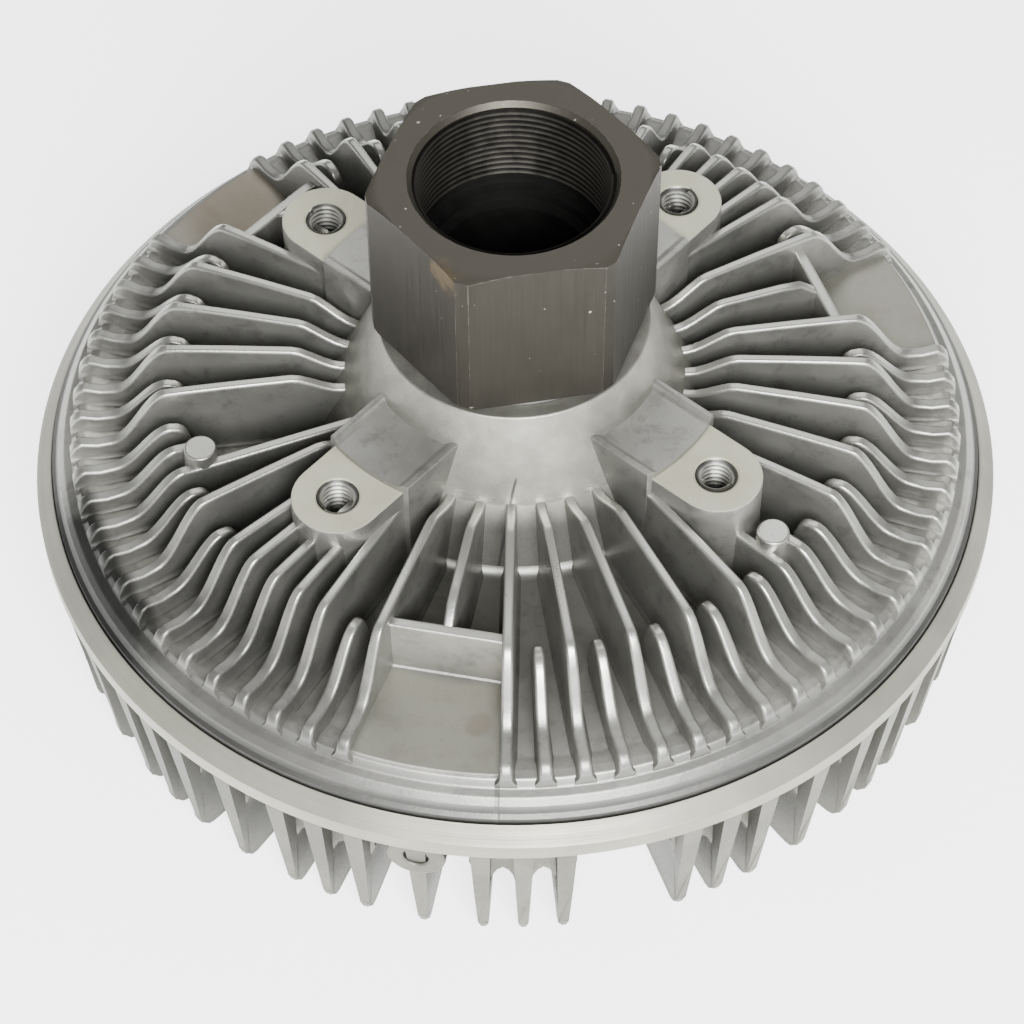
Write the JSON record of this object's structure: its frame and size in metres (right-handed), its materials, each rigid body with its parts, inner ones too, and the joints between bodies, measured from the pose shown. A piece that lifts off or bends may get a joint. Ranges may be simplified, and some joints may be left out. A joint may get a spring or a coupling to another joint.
{
  "type": "viscous fan clutch",
  "caption": "Round viscous fan clutch: radially finned cast housing and cover, threaded hex hub nut on a free-turning shaft, bolt bosses for a fan and a bimetal valve.",
  "frame": {"origin": "on the turning axis, in the plane of the lowest cover fin feet", "axes": "+Z along the turning axis towards the hub nut's open end, +X between the first clamping pad and the fan boss that lies between +X and -Y"},
  "size_m": [0.206, 0.206, 0.1217],
  "materials": {
    "housing_casting": "satin",
    "cover_casting": "satin",
    "shaft_steel": "matte",
    "bearing_steel": "polished",
    "cage_metal": "satin",
    "spring_steel": "satin",
    "rotor_metal": "machined",
    "seal_rubber": "matte",
    "plate_steel": "satin",
    "wiper_plastic": "matte",
    "bimetal": "satin",
    "plug_metal": "satin"
  },
  "bodies": {
    "housing": {"rear_housing": "housing_casting", "front_cover": "cover_casting", "bearing_outer_ring": "bearing_steel", "bearing_upper_shield": "plate_steel", "bearing_lower_shield": "plate_steel", "bearing_circlip": "spring_steel", "cover_seal": "seal_rubber", "reservoir_plate": "plate_steel", "plate_screws": "spring_steel", "fluid_wiper": "wiper_plastic", "spindle_seal": "seal_rubber", "bimetal_coil": "bimetal", "coil_anchor": "plate_steel", "fill_plug": "plug_metal"},
    "shaft": {"drive_shaft": "shaft_steel", "bearing_inner_ring": "bearing_steel", "rotor": "rotor_metal", "rotor_clip": "spring_steel"},
    "ball_set": {"bearing_balls": "bearing_steel", "bearing_cage": "cage_metal"},
    "valve": {"valve_spindle": "bearing_steel", "valve_arm": "plate_steel", "arm_clip": "spring_steel"}
  },
  "joints": [
    {"name": "shaft_spin", "type": "hinge", "parent": "housing", "child": "shaft", "pos_m": [0, 0, 0.1], "axis": [0, 0, 1], "continuous": true},
    {"name": "cage_spin", "type": "hinge", "parent": "housing", "child": "ball_set", "pos_m": [0, 0, 0.0555], "axis": [0, 0, 1], "continuous": true},
    {"name": "valve_turn", "type": "hinge", "parent": "housing", "child": "valve", "pos_m": [0, 0, 0.02], "axis": [0, 0, 1], "range_deg": [0, 25], "stiffness_Nm_per_rad": 0.05, "deforming": ["bimetal_coil"]}
  ],
  "couplings": [
    {"joint": "cage_spin", "follows": "shaft_spin", "ratio": 0.4072}
  ]
}
